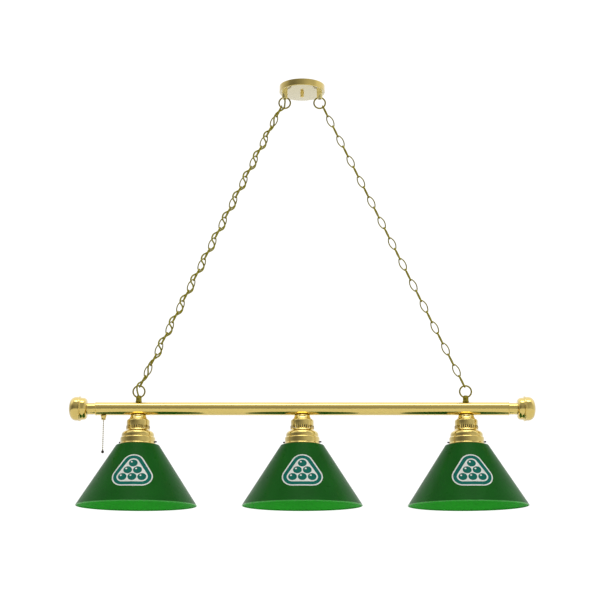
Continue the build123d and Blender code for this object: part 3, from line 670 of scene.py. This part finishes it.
def route_line(points, spacing=2.5 * MM):
    """Points along straight runs between route points, with the largest arc that fits each corner."""
    corners = [points[0]]
    for before, corner, after in zip(points, points[1:], points[2:]):
        arriving, leaving = corner - before, after - corner
        half_turn = arriving.angle(leaving) / 2
        radius = 0.45 * min(arriving.length, leaving.length) / tan(half_turn)
        corners += [Vector(point) for point in round_corner(before, corner, after, radius, 8)]
    corners.append(points[-1])
    line = []
    for start, end in zip(corners, corners[1:]):
        steps = ceil((end - start).length / spacing)
        line += [start.lerp(end, step / steps) for step in range(steps)]
    return line + [corners[-1]]


CORD_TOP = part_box("cord_feed")[1].z
CORD_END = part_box("cord_tail")[0].z
CORD_ROUTE = [
    Vector((-LOOP_X, 0, CORD_TOP)),
    Vector((-LOOP_X, 0, -0.036)),
    Vector((-0.0572, 0.0008, -0.053)),
    Vector((-0.0597, 0.0105, -0.0752)),
]
for index in range(1, LINKS):
    way = 1 if index % 2 else -1
    across, forward, further = CORD_OUT if index % 2 else CORD_IN
    if index < 3 or index > LINKS - 3:
        across, forward, further = CORD_ENDS
    beside = (OUTWARD * across + FRONT * forward) * (way * MM)
    CORD_ROUTE.append(chain_point(joint_at(index) + further * PITCH) + beside)
CORD_ROUTE += [
    Vector((-0.5289, -0.0105, -1.0135)),
    Vector((-0.5293, -0.0010, -1.0340)),
    Vector((-0.5232, 0, -1.0520)),
    Vector((SHADE_CENTRES["left"], 0, CORD_END)),
]
cord_line = route_line(CORD_ROUTE)

# The cord is cut into stretches that meet inside links: the stretch in the chain rides on the chain's body,
# and the others stay where they are built.
HALF_LINK = PITCH / 2
TOP_PIVOT = chain_point(joint_at(1) + LINK_WIRE_R + CONTACT_GAP / 2)
LOW_PIVOT = chain_point(joint_at(LINKS - 1) - LINK_WIRE_R - CONTACT_GAP / 2)
cord_cuts = [
    chain_point(joint_at(1) - HALF_LINK),
    chain_point(joint_at(2) - HALF_LINK),
    chain_point(joint_at(LINKS - 1) - HALF_LINK),
    chain_point(joint_at(LINKS) - HALF_LINK),
]
cord_stretches = [
    ("cord_at_canopy", "canopy", "upper_link_left", TOP, ["cord_feed"]),
    ("cord_at_top_link", "upper_link_left", "chain_left", TOP_PIVOT, ["cord_top"]),
    ("cord_in_chain", "chain_left", None, None, ["cord_weave"]),
    ("cord_at_bottom_link", "chain_left", "lower_link_left", LOW_PIVOT, ["cord_bottom"]),
    ("cord_at_bar", "lower_link_left", "bar", BOTTOM, ["cord_tail"]),
]
marks = [0]
for cut in cord_cuts:
    past = [index for index, point in enumerate(cord_line) if (point - cut).dot(DOWN) > 0]
    marks.append(past[0])
marks.append(len(cord_line) - 1)
for number, (name, body, other, pivot, nodes) in enumerate(cord_stretches):
    bm = bmesh.new()
    sweep(bm, cord_line[marks[number]:marks[number + 1] + 1], CORD_R, 16)
    obj = new_object(bm, name, [cord_plastic], 50)
    if other is None:
        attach(obj, body)
    else:
        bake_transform(obj)
    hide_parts(*nodes)

# ---------------------------------------------------------------- bar
BAR_R = 21.0
LIP_R = (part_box("bar_tube")[1].z - BAR_Z) / MM
BORE_R = 19.8
END = BAR_HALF / MM
LIP = 2.6
lip_end = [
    *round_corner((BORE_R, END), (LIP_R, END), (LIP_R, 0), 0.9, 6),
    (LIP_R, END - LIP + 0.5), (LIP_R - 0.4, END - LIP), (BAR_R, END - LIP - 0.2),
]
tube_outline = [(BORE_R, END)] + lip_end + [(BAR_R, x) for x in (400, 200, 0, -200, -400)]
tube_outline += [(radius, -x) for radius, x in lip_end[::-1]] + [(BORE_R, -END)]
tube = bmesh.new()
lathe(tube, tube_outline, lying(1), 128)
tube_holes = bmesh.new()
for x in (SHADE_CENTRES["left"], SHADE_CENTRES["right"]):
    prism(tube_holes, upright(x, BAR_Z), disc_outline(CLEAR_R), 25)
for x in (*SHADE_CENTRES.values(), SWITCH_X):
    prism(tube_holes, upright(x, BAR_Z - 25 * MM), disc_outline(CLEAR_R), 25)
piece(tube, "bar", "bar", [bar_brass], ["bar_tube"], tube_holes)

SEAM = 710.0
inner_shell = [(18.8, 686.6), (24.0, 686.6), *arc((24.5, 686.6), (31.8, 690.1), (35.2, 698.5), 12)]
inner_shell += [(35.7, 704.5), *arc((35.9, 705.2), (37.2, 707.2), (39.2, 708.0), 6)]
inner_shell += [(40.0, 708.5), (40.3, SEAM)]
outer_shell = [
    (40.5, SEAM), (40.4, 711.3), (39.9, 711.8), (38.7, 712.3), (38.4, 712.8),
    *arc((38.3, 715.0), (38.1, 723.0), (37.6, 726.5), 6),
    *arc((37.6, 726.5), (34.4, 733.3), (26.5, 740.0), 12)[1:],
    *arc((26.5, 740.0), (13.5, 744.2), (0, 745.5), 14)[1:],
]
for name, side in SIDES.items():
    neck = bmesh.new()
    neck_outline = [(16.5, 647), (19.7, 647), (19.7, 660.3), (18.7, 660.3), (18.7, 668)]
    neck_outline += [(18.7, 684.2), (19.2, 684.8), (19.2, 686.3), (18.7, 686.5), (18.7, 690), (16.5, 690)]
    lathe(neck, neck_outline, lying(side), 96)
    piece(neck, f"{name}_knob_neck", "bar", [polished_brass], [f"{name}_neck"])

    inner = bmesh.new()
    lathe(inner, sheet_outline(inner_shell[::-1], BRASS_SHEET), lying(side), 128)
    piece(inner, f"{name}_knob_back", "bar", [polished_brass], [f"{name}_knob_inner"])

    outer = bmesh.new()
    outline = sheet_outline(outer_shell[::-1], BRASS_SHEET)
    flat = [(max(radius, 0.0), x) for radius, x in outline]
    lathe(outer, flat, lying(side), 128)
    piece(outer, f"{name}_knob_front", "bar", [polished_brass], [f"{name}_knob_outer"])

LOOP_BASE = 330.35
for name in SIDES:
    node = f"bar_loop_{name}"
    x, z, radius = loop_ring(node, hangs=False)
    loop = bmesh.new()
    boss = [
        (THREAD_R, LOOP_BASE), (9.6, LOOP_BASE), (10.2, LOOP_BASE + 0.5), (10.2, 332.0),
        *arc((10.1, 332.6), (9.4, 334.6), (9.0, 338.0), 6), (9.0, 344.4), (8.4, 345.2),
        *arc((8.0, 345.6), (7.2, 346.4), (6.9, 347.6), 5),
        *round_corner((6.9, 347.6), (6.9, 351.5), (0, 351.5), 1.0, 5),
        (THREAD_R + 0.4, 351.5), (THREAD_R, 351.1),
    ]
    lathe(loop, boss, upright(x), 64)
    sweep(loop, ring_path(x, z, radius + RING_FLARE), RING_WIRE_R + RING_FLARE, 20, closed=True)
    piece(loop, f"bar_ring_{name}", "bar", [ring_brass], [node])

# ---------------------------------------------------------------- holders and shades
holder_outside = [
    (57.0, 194.6), (57.3, 195.0), (57.3, 197.0),
    *arc((57.0, 197.6), (56.0, 199.4), (55.6, 201.4), 4), (55.6, 213.6),
    *arc((55.6, 213.6), (54.6, 216.6), (52.0, 218.6), 8)[1:], (52.0, 223.4),
    *arc((52.0, 223.4), (50.0, 230.9), (44.4, 236.2), 12)[1:],
    *arc((44.4, 236.2), (39.0, 240.0), (36.7, 245.0), 8)[1:], (36.7, 267.6),
    *arc((36.7, 267.6), (35.4, 272.2), (31.7, 274.7), 8)[1:],
    *arc((31.7, 274.7), (27.3, 280.6), (24.5, 287.2), 8)[1:], (24.0, 287.8), (CLEAR_R, 287.8),
]
VENTS = 36
VENT_Z = 249.0
VENT_HEIGHT, VENT_WIDTH = 10.5, 3.0
SCREW_Z = 202.2
SCREW_AZIMUTHS = (-8.0, 82.0, 172.0)

SHADE_TOP = (67.7, 193.0)
SHADE_FOOT = (191.0, 1.5)
NECK_R = 50.8
shade_outside = [(NECK_R, 204.6)]
shade_outside += round_corner((NECK_R, 207.0), (NECK_R, SHADE_TOP[1]), SHADE_TOP, 2.0, 5)
shade_outside += round_corner((NECK_R, SHADE_TOP[1]), SHADE_TOP, SHADE_FOOT, 5.0, 10)
shade_outside += [(190.1, 2.9)]
RIM_BEAD = [(189.5 + 1.5 * cos(turn), 1.5 + 1.5 * sin(turn)) for turn in
            (radians(65 - 20 * step) for step in range(17))]
INSIDE_FROM = 12                 # point of the rim's bead where the inside's brighter green, painted light, begins
NECK_BEAD = [(NECK_R + 0.5 + 1.3 * cos(turn), 205.7 + 1.3 * sin(turn)) for turn in
             (radians(210 - 20 * step) for step in range(14))]

WHITE_EDGE, FRAME_EDGE, FRAME_INSIDE = 35.0, 30.5, 18.8
BALL_PITCH, BALL_R, SPOT_R = 30.5, 13.7, 3.0
SPOT_X, SPOT_Y = -4.7, 5.2               # a ball's highlight, from the ball's centre
WHITE_LIFT, TEAL_LIFT, SPOT_LIFT = 0.14, 0.22, 0.3
PRINT_DEPTH = 0.1
EMBLEM_Z = 93.0


def rack_outline(reach, steps=12):
    """Rounded triangle of the three corner balls' centres, grown by reach."""
    span = 2 * BALL_PITCH
    centroid = span * sin(pi / 3) / 3
    corners = [(0, 2 * centroid), (-span / 2, -centroid), (span / 2, -centroid)]
    points = []
    for number, (x, y) in enumerate(corners):
        start = pi / 6 + number * 2 * pi / 3
        for step in range(steps + 1):
            turn = start + 2 * pi / 3 * step / steps
            points.append((x + reach * cos(turn), y + reach * sin(turn)))
        after_x, after_y = corners[(number + 1) % 3]
        turn = start + 2 * pi / 3
        for step in range(1, steps):
            share = step / steps
            base = (x + (after_x - x) * share, y + (after_y - y) * share)
            points.append((base[0] + reach * cos(turn), base[1] + reach * sin(turn)))
    return points


def on_shade(x_centre, point, lift):
    """A point of the flat emblem laid on the shade's front; lift stands it off the enamel."""
    slope = (SHADE_FOOT[0] - SHADE_TOP[0]) / (SHADE_TOP[1] - SHADE_FOOT[1])
    tilt = atan2(SHADE_FOOT[0] - SHADE_TOP[0], SHADE_TOP[1] - SHADE_FOOT[1])
    height = EMBLEM_Z + point[1] * cos(tilt)
    radius = SHADE_TOP[0] + (SHADE_TOP[1] - height) * slope
    turn = point[0] / radius
    radius += lift * cos(tilt)
    height += lift * sin(tilt)
    return Vector((x_centre + radius * sin(turn) * MM, -radius * cos(turn) * MM, RIM + height * MM))


def print_plate(bm, x_centre, outline, lift, material, hole=None, step=4.0):
    """A thin printed shape on the shade: rings of the outline shrink to its centre, or to a hole."""
    middle_x = sum(point[0] for point in outline) / len(outline)
    middle_y = sum(point[1] for point in outline) / len(outline)
    inner = hole or [(middle_x, middle_y)] * len(outline)
    span = max((Vector(a) - Vector(b)).length for a, b in zip(outline, inner))
    rounds = ceil(span / step)
    count = len(outline)
    for level in (lift, lift - PRINT_DEPTH):
        rings = []
        for index in range(rounds + 1):
            share = index / rounds
            if share == 1 and not hole:
                rings.append([bm.verts.new(on_shade(x_centre, inner[0], level))])
                continue
            points = [
                (a[0] + (b[0] - a[0]) * share, a[1] + (b[1] - a[1]) * share)
                for a, b in zip(outline, inner)
            ]
            rings.append([bm.verts.new(on_shade(x_centre, point, level)) for point in points])
        for ring, following in zip(rings, rings[1:]):
            for index in range(count):
                after = (index + 1) % count
                corners = [ring[index], ring[after]]
                corners += [following[after % len(following)], following[index % len(following)]]
                face = bm.faces.new(list(dict.fromkeys(corners)))
                face.material_index = material
        edges = [rings[0]] + ([rings[-1]] if hole else [])
        if level == lift:
            tops = edges
            continue
        for top, bottom in zip(tops, edges):
            for index in range(count):
                after = (index + 1) % count
                face = bm.faces.new([top[index], top[after], bottom[after], bottom[index]])
                face.material_index = material


# The vents' band is rolled into ridges that catch the light between its slots.
ridges = []
for number in range(3):
    foot = VENT_Z + (number - 1.5) * VENT_HEIGHT / 3
    ridges += [(36.9, foot), (38.5, foot + 0.4), (36.9, foot + 3.4)]
lower = [point for point in holder_outside if point[1] < ridges[0][1]]
upper = [point for point in holder_outside if point[1] > ridges[-1][1]]
holder_inside = sheet_outline(holder_outside[::-1], BRASS_SHEET)[len(holder_outside):]
holder_outline = upper[::-1] + ridges[::-1] + lower[::-1] + holder_inside

for name, x in SHADE_CENTRES.items():
    holder = bmesh.new()
    lathe(holder, holder_outline, upright(x), 144)
    holes = bmesh.new()
    for number in range(VENTS):
        prism(holes, radial(x, VENT_Z, 360 * number / VENTS, 34), box_outline(VENT_HEIGHT, VENT_WIDTH), 6)
    for turn in SCREW_AZIMUTHS:
        prism(holes, radial(x, SCREW_Z, turn, 53), disc_outline(2.05, steps=16), 6)
    piece(holder, f"{name}_shade_holder", "bar", [polished_brass], [f"{name}_holder"],
          holes)

    shade = bmesh.new()
    inside = sheet_outline(shade_outside, SHADE_SHEET)[len(shade_outside):]
    outline = NECK_BEAD + shade_outside[1:] + RIM_BEAD + inside[1:-1]
    bead = len(NECK_BEAD) + len(shade_outside) - 1
    # From the rim's bead on, faces take the glossier rim enamel and then the inside's enamel, both in the
    # brighter painted-light green.
    lathe(shade, outline, upright(x), 192, [(bead, 2), (bead + INSIDE_FROM, 1)])
    piece(shade, f"{name}_enamel_shade", "bar", [green_enamel, green_enamel_painted_lit_inside, green_enamel_rim],
          [f"{name}_shade"])

    emblem = bmesh.new()
    print_plate(emblem, x, rack_outline(WHITE_EDGE), WHITE_LIFT, 0)
    print_plate(emblem, x, rack_outline(FRAME_EDGE), TEAL_LIFT, 1, rack_outline(FRAME_INSIDE))
    low = -2 * BALL_PITCH * sin(pi / 3) / 3
    for row in range(3):
        for number in range(3 - row):
            ball_x = (number - (2 - row) / 2) * BALL_PITCH
            ball_y = low + row * BALL_PITCH * sin(pi / 3)
            spot = disc_outline(SPOT_R, ball_x + SPOT_X, ball_y + SPOT_Y)
            print_plate(emblem, x, disc_outline(BALL_R, ball_x, ball_y), TEAL_LIFT, 1)
            print_plate(emblem, x, spot, SPOT_LIFT, 0)
    piece(emblem, f"{name}_rack_emblem", "bar", [print_white, print_teal])

screws = bmesh.new()
slits = bmesh.new()
for x in SHADE_CENTRES.values():
    for turn in SCREW_AZIMUTHS:
        place = radial(x, SCREW_Z, turn, 0)
        shank = [(0, NECK_R + 0.1), (1.2, NECK_R + 0.1)]
        shank += thread_outline(NECK_R + 0.6, 56.6, 2.0, 1.7, 0.8)
        head = [(1.9, 57.0), (2.4, 57.0), (2.6, 57.3), (2.6, 60.7), (2.3, 61.2), (1.6, 61.5), (0, 61.5)]
        lathe(screws, shank + head, place, 24)
        prism(slits, place @ Matrix.Translation((0, 0, 60.4 * MM)), box_outline(7.0, 0.9), 2)
piece(screws, "thumb_screws", "bar", [bronze_dark], ["shade_screws"], slits)

# ---------------------------------------------------------------- bulbs and their bases
BULB_TIP, BULB_R, BULB_SEAT = 154.0, 30.0, 237.5


def bulb_side(inset):
    """A bulb's outline from its tip up to its neck, thinner by inset."""
    globe, centre = BULB_R - inset, BULB_TIP + BULB_R
    last = radians(40.6)
    turns = [-pi / 2 + (last + pi / 2) * step / 24 for step in range(25)]
    points = [(globe * cos(turn), centre + globe * sin(turn)) for turn in turns]
    points[0] = (0.0, points[0][1])
    start = Vector(points[-1])
    leaving = Vector((-sin(last), cos(last)))
    end = Vector((12.9 - inset, BULB_SEAT))
    return points + bezier(start, start + leaving * 14, end - Vector((0, 14)), end)[1:]


for name, x in SHADE_CENTRES.items():
    bulb = bmesh.new()
    lathe(bulb, bulb_side(0) + bulb_side(0.8)[::-1], upright(x), 96)
    piece(bulb, f"{name}_bulb_glass", "bar", [frosted_glass], [f"{name}_bulb"])

bases = bmesh.new()
for x in SHADE_CENTRES.values():
    outline = [(0, BULB_SEAT), *thread_outline(BULB_SEAT + 0.4, BULB_SEAT + 19.6, 13.2, 12.2, 3.6)]
    outline += [(12.2, BULB_SEAT + 20), (8.4, BULB_SEAT + 22), (4.6, BULB_SEAT + 23.2)]
    outline += [(4.5, BULB_SEAT + 24), (0, BULB_SEAT + 24)]
    lathe(bases, outline, upright(x), 48)
piece(bases, "bulb_caps", "bar", [bulb_base_aluminium], ["bulb_bases"])

# ---------------------------------------------------------------- pull switch
ferrule = bmesh.new()
FERRULE_TOP = 288.2
ferrule_outline = [
    (4.95, FERRULE_TOP), (8.7, FERRULE_TOP), (9.1, FERRULE_TOP - 0.4), (9.1, 284.9),
    *arc((9.0, 284.4), (7.6, 280.0), (7.1, 275.6), 8),
    *arc((7.1, 275.6), (6.7, 273.9), (5.4, 273.0), 5)[1:],
    (1.9, 273.0), (1.6, 273.3), (1.6, 274.2), (4.95, 274.6),
]
lathe(ferrule, ferrule_outline, upright(SWITCH_X), 48)
piece(ferrule, "pull_switch_collar", "bar", [polished_brass], ["switch_ferrule"])


def bead_outline(neck):
    """A hollow bead seen from the side: a ball drawn in at both ends round its wire."""
    last = atan2((BEAD_R**2 - neck**2) ** 0.5, neck)
    turns = [-last + 2 * last * step / 14 for step in range(15)]
    side = [(BEAD_R * cos(turn), BEAD_R * sin(turn)) for turn in turns]
    return [(0, side[0][1]), *side, (0, side[-1][1])]


swivel = bmesh.new()
lathe(swivel, bead_outline(0.9), Matrix.Translation(FIRST_BEAD), 24)
piece(swivel, "top_bead", "swivel", [bead_brass], ["swivel_bead"])

beads = bmesh.new()
wire_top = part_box("ball_chain")[1].z
last_bead = FIRST_BEAD.z - BEADS * BEAD_PITCH * MM
sweep(beads, [Vector((SWITCH_X, 0, wire_top)), Vector((SWITCH_X, 0, last_bead))], BEAD_WIRE_R, 10)
for number in range(1, BEADS + 1):
    lathe(beads, bead_outline(0.9), upright(SWITCH_X, FIRST_BEAD.z - number * BEAD_PITCH * MM), 24)
piece(beads, "bead_chain", "pull_chain", [bead_brass], ["ball_chain"])

bell = bmesh.new()
bell_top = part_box("pull_knob")[1].z
bell_outline = [
    (0, 0), (1.5, 0), (1.8, -0.3), (1.9, -1.2), *arc((2.1, -1.6), (3.4, -2.5), (4.2, -4.0), 6),
    *arc((4.2, -4.0), (4.6, -6.2), (4.0, -8.4), 6)[1:],
    *arc((4.0, -8.4), (2.6, -10.0), (0, -10.4), 8)[1:],
]
lathe(bell, bell_outline, upright(SWITCH_X, bell_top), 40)
piece(bell, "pull_end", "pull_chain", [bronze_dark], ["pull_knob"])

# ---------------------------------------------------------------- threaded nipples
for body in ("canopy", "bar"):
    node, name = f"{body}_nipples", f"{body}_threads"
    low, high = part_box(node)
    threads = bmesh.new()
    if body == "canopy":
        stretches = [(x, low.z, high.z) for x in (-LOOP_X, LOOP_X)]
    else:
        upper, lower = 22.5 * MM, 21.0 * MM
        stretches = [(SHADE_CENTRES[side], high.z - upper, high.z) for side in SIDES]
        stretches += [(x, low.z, low.z + lower) for x in SHADE_CENTRES.values()]
    for x, start, end in stretches:
        length = (end - start) / MM
        outline = thread_outline(0, length, THREAD_R, THREAD_R - 0.4, 0.9)
        outline += [(NIPPLE_BORE_R, length), (NIPPLE_BORE_R, 0)]
        # The nipples' bores take the near-black brass, a painted shade.
        lathe(threads, outline, upright(x, start), 40, [(len(outline) - 2, 1)])
    piece(threads, name, body, [shell_brass, painted_shade_bore], [node])

# ---------------------------------------------------------------- CAD nodes that show as they are
kept = {
    plated_steel: [
        "crossbar", "center_stud", "canopy_washers", "canopy_lock_nuts", "bar_lock_nuts", "switch_nut",
    ],
    green_screw: ["ground_screw"],
    lead_insulation: ["canopy_leads", "bar_leads"],
    connector_plastic: ["wire_connectors"],
    black_phenolic: ["left_socket", "center_socket", "right_socket", "switch_body"],
    shell_brass: ["socket_shells", "socket_contacts"],
    bead_brass: ["switch_plunger"],
}
for material, nodes in kept.items():
    for node in nodes:
        mesh = frame["nodes"][node].data
        mesh.materials.clear()
        mesh.materials.append(material)

# ---------------------------------------------------------------- floor, light and camera
FLOOR_Z, FLOOR_R, FLOOR_DEPTH = -2.6, 14000, 20
floor = bmesh.new()
floor_outline = [(0, 0), (FLOOR_R, 0), (FLOOR_R, -FLOOR_DEPTH), (0, -FLOOR_DEPTH)]
lathe(floor, floor_outline, upright(0, FLOOR_Z), 96)
floor_paint = plain("floor_paint", (0.8, 0.8, 0.79), (0.78, 0.78, 0.77), 0.7, 3)
new_object(floor, "floor", [floor_paint], 30)

world = bpy.data.worlds.new("studio")
bpy.context.scene.world = world
world.use_nodes = True
sky = world.node_tree
sky.nodes.clear()


def sky_node(kind, *feeds, **settings):
    """A node of the studio's surroundings; feeds go to its inputs in order."""
    made = sky.nodes.new(f"ShaderNode{kind}")
    for name, value in settings.items():
        setattr(made, name, value)
    for socket, feed in zip(made.inputs, feeds):
        if isinstance(feed, bpy.types.NodeSocket):
            sky.links.new(feed, socket)
        elif feed is not None:
            socket.default_value = feed
    return made.outputs[0]


def sky_math(operation, *values):
    """A number worked out from others."""
    return sky_node("Math", *values, operation=operation)


def sky_step(value, start, end, low=0.0, high=1.0):
    """Maps a number smoothly from start..end to low..high."""
    return sky_node("MapRange", value, start, end, low, high, interpolation_type="SMOOTHSTEP")


towards = sky.nodes.new("ShaderNodeSeparateXYZ")
sky.links.new(sky.nodes.new("ShaderNodeTexCoord").outputs["Generated"], towards.inputs[0])
east, north, rise = towards.outputs

# The studio's walls by azimuth in degrees from the camera's side, positive to the right:
# dim behind the camera, bright to the sides and behind the lamp.
WALLS = (
    (-180, 1.0), (-120, 0.57), (-88, 0.33), (-64, 0.2), (-42, 0.165), (-22, 0.24), (0, 0.34),
    (18, 0.49), (38, 0.6), (60, 0.58), (84, 0.75), (114, 0.8), (180, 1.0),
)
azimuth = sky_math("ARCTAN2", east, sky_math("MULTIPLY", north, -1.0))
walls = sky.nodes.new("ShaderNodeValToRGB")
sky.links.new(sky_node("MapRange", azimuth, -pi, pi), walls.inputs[0])
stops = walls.color_ramp.elements
for angle, level in WALLS[1:-1]:
    stops.new((angle + 180) / 360)
for stop, (angle, level) in zip(stops, WALLS):
    stop.position = (angle + 180) / 360
    stop.color = (level, level, level, 1)

# Overhead it is grey in front and pale behind, with one bright panel above the front.
CEILING_FRONT, CEILING_BACK = 0.42, 1.12
PANEL = 3.8
ceiling = sky_step(north, -0.42, -0.12, CEILING_FRONT, CEILING_BACK)
height_share = sky_step(rise, 0.2, 0.7)
room_light = sky_math(
    "ADD",
    sky_math("MULTIPLY", walls.outputs["Color"], sky_math("SUBTRACT", 1.0, height_share)),
    sky_math("MULTIPLY", ceiling, height_share),
)
panel_edges = (
    sky_step(rise, 0.872, 0.895), sky_step(north, -0.26, -0.12, 1.0, 0.0),
    sky_step(east, -0.4, -0.25), sky_step(east, 0.53, 0.63, 1.0, 0.0),
)
panel = PANEL
for edge in panel_edges:
    panel = sky_math("MULTIPLY", panel, edge)
room = sky_node("Background", WHITE, sky_math("ADD", room_light, panel))
backdrop = sky_node("Background", WHITE, 1.1)
seen = sky.nodes.new("ShaderNodeLightPath")
mixed = sky_node("MixShader", seen.outputs["Is Camera Ray"], room, backdrop)
sky.links.new(mixed, sky.nodes.new("ShaderNodeOutputWorld").inputs["Surface"])

CAMERA_PLACE = (-0.0072, -4.6948, -1.8051)
CAMERA_RISE = 12.84              # degrees above level
camera_data = bpy.data.cameras.new("camera")
camera_data.lens = 88.93
camera_data.sensor_width = 36.0
camera = bpy.data.objects.new("camera", camera_data)
camera.location = CAMERA_PLACE
camera.rotation_euler = (radians(90 + CAMERA_RISE), 0, 0)
bpy.context.scene.collection.objects.link(camera)
bpy.context.scene.camera = camera
bpy.context.scene.view_settings.view_transform = "Standard"
